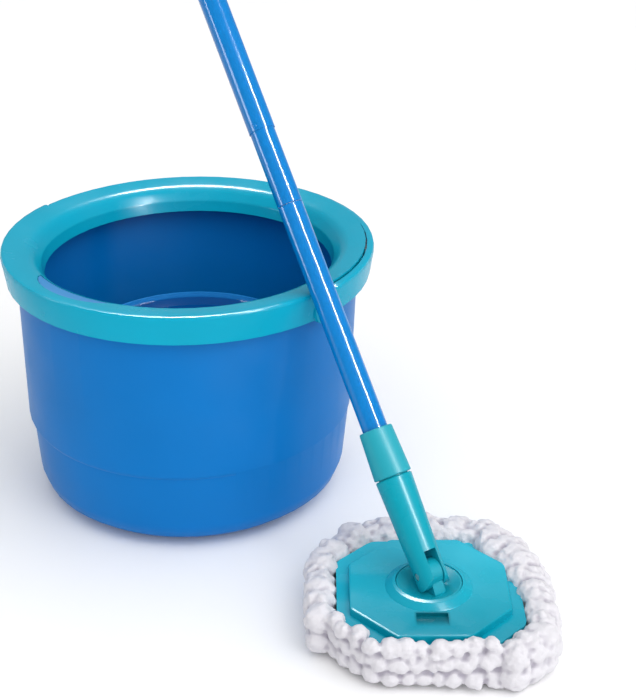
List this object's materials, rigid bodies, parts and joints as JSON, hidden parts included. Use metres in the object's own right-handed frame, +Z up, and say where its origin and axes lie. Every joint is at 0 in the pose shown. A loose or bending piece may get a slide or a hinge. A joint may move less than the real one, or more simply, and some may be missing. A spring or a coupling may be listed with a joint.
{
  "type": "spin mop set",
  "caption": "Round bucket with splash ring and carry handle, and a push-down spin mop with a swivelling microfibre head.",
  "frame": {"origin": "middle of the bucket's underside, on the floor, under the middle of the splash ring", "axes": "+Z up; +Y from the front to the back of the bucket; +X to the right as seen from the front, with the mop at the front right and its pole leaning back over the ring"},
  "size_m": [0.5471, 0.7227, 1.038],
  "materials": {
    "bucket_blue": "satin moulded blue",
    "teal_plastic": "satin moulded teal",
    "collar_teal": "lighter satin teal",
    "pole_blue": "glossy blue lacquer",
    "steel": "plain bright",
    "white_plastic": "natural white",
    "cap_blue": "satin moulded blue",
    "microfibre": "soft white pile"
  },
  "bodies": {
    "bucket_set": {"bucket": "bucket_blue", "spin_pedestal": "bucket_blue", "splash_ring": "teal_plastic", "hinge_pin_front": "teal_plastic", "hinge_pin_back": "teal_plastic", "pivot_pin": "steel", "pivot_bush": "white_plastic"},
    "bail": {"carry_handle": "teal_plastic"},
    "dish": {"spin_dish": "bucket_blue"},
    "mop_shaft": {"lower_tube": "teal_plastic", "tilt_pin": "steel", "lower_pole": "pole_blue", "pole_coupler": "white_plastic", "middle_pole": "pole_blue", "clutch_housing": "white_plastic", "housing_cap": "white_plastic"},
    "collar": {"locking_collar": "collar_teal"},
    "nut": {"drive_nut": "steel"},
    "mop_handle": {"upper_pole": "pole_blue", "twist_rod": "steel", "rod_anchor": "white_plastic", "hand_grip": "teal_plastic", "end_cap": "cap_blue"},
    "swivel": {"swivel_disc": "teal_plastic", "disc_washer": "steel"},
    "mop_head": {"head_plate": "teal_plastic", "refill_frame": "white_plastic", "mop_pad": "microfibre", "mop_fringe": "microfibre"}
  },
  "joints": [
    {"name": "carry_handle_swing", "type": "hinge", "parent": "bucket_set", "child": "bail", "pos_m": [0, 0, 0.225], "axis": [0.8192, -0.5736, 0], "range_deg": [0, 78]},
    {"name": "dish_spin", "type": "hinge", "parent": "bucket_set", "child": "dish", "pos_m": [0, 0, 0.131], "axis": [0, 0, 1], "continuous": true},
    {"name": "mop_lift", "type": "slide", "parent": "bucket_set", "child": "mop_shaft", "axis": [0, 0, 1], "range_m": [0, 0.35]},
    {"name": "collar_twist", "type": "hinge", "parent": "mop_shaft", "child": "collar", "pos_m": [0.205, -0.2526, 0.057], "axis": [-0.3508, 0.5143, 0.7826], "range_deg": [0, 60]},
    {"name": "handle_push", "type": "slide", "parent": "mop_shaft", "child": "mop_handle", "axis": [0.3508, -0.5143, -0.7826], "range_m": [0, 0.2]},
    {"name": "nut_spin", "type": "hinge", "parent": "mop_shaft", "child": "nut", "pos_m": [0.205, -0.2526, 0.057], "axis": [-0.3508, 0.5143, 0.7826], "range_deg": [0, 901]},
    {"name": "head_tilt", "type": "hinge", "parent": "mop_shaft", "child": "swivel", "pos_m": [0.205, -0.2526, 0.057], "axis": [-0.8261, -0.5635, 0], "range_deg": [-31, 108]},
    {"name": "head_spin", "type": "hinge", "parent": "swivel", "child": "mop_head", "pos_m": [0.205, -0.2526, 0.04], "axis": [0, 0, 1], "continuous": true}
  ],
  "couplings": [
    {"joint": "nut_spin", "follows": "handle_push", "rad_per_m": 78.54}
  ]
}
